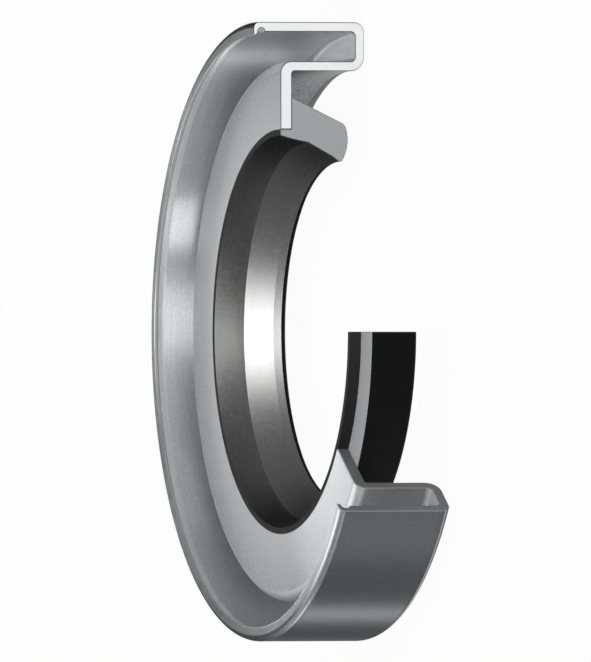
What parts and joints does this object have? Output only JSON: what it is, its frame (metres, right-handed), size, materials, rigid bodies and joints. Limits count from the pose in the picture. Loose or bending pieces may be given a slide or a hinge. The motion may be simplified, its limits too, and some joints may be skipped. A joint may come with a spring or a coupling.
{
  "type": "cutaway axle oil seal",
  "caption": "Cutaway axle oil seal: folded steel case with a hemmed edge and a springless rubber lip bonded to its flange, with a stepped window that shows the section.",
  "frame": {"origin": "on the shaft's axis, in the middle of the sealing land", "axes": "+Z along the shaft's axis, out of the open front of the case; -Z out of the flat back wall that the seal lies on; +X through the face of the section where the case and the lip are cut together"},
  "size_m": [0.1, 0.091, 0.019],
  "materials": {
    "case_steel": "satin, drawn steel sheet",
    "lip_rubber": "smooth moulded rubber, black"
  },
  "bodies": {
    "root": {"case": "case_steel", "sealing_lip": "lip_rubber"}
  },
  "joints": []
}
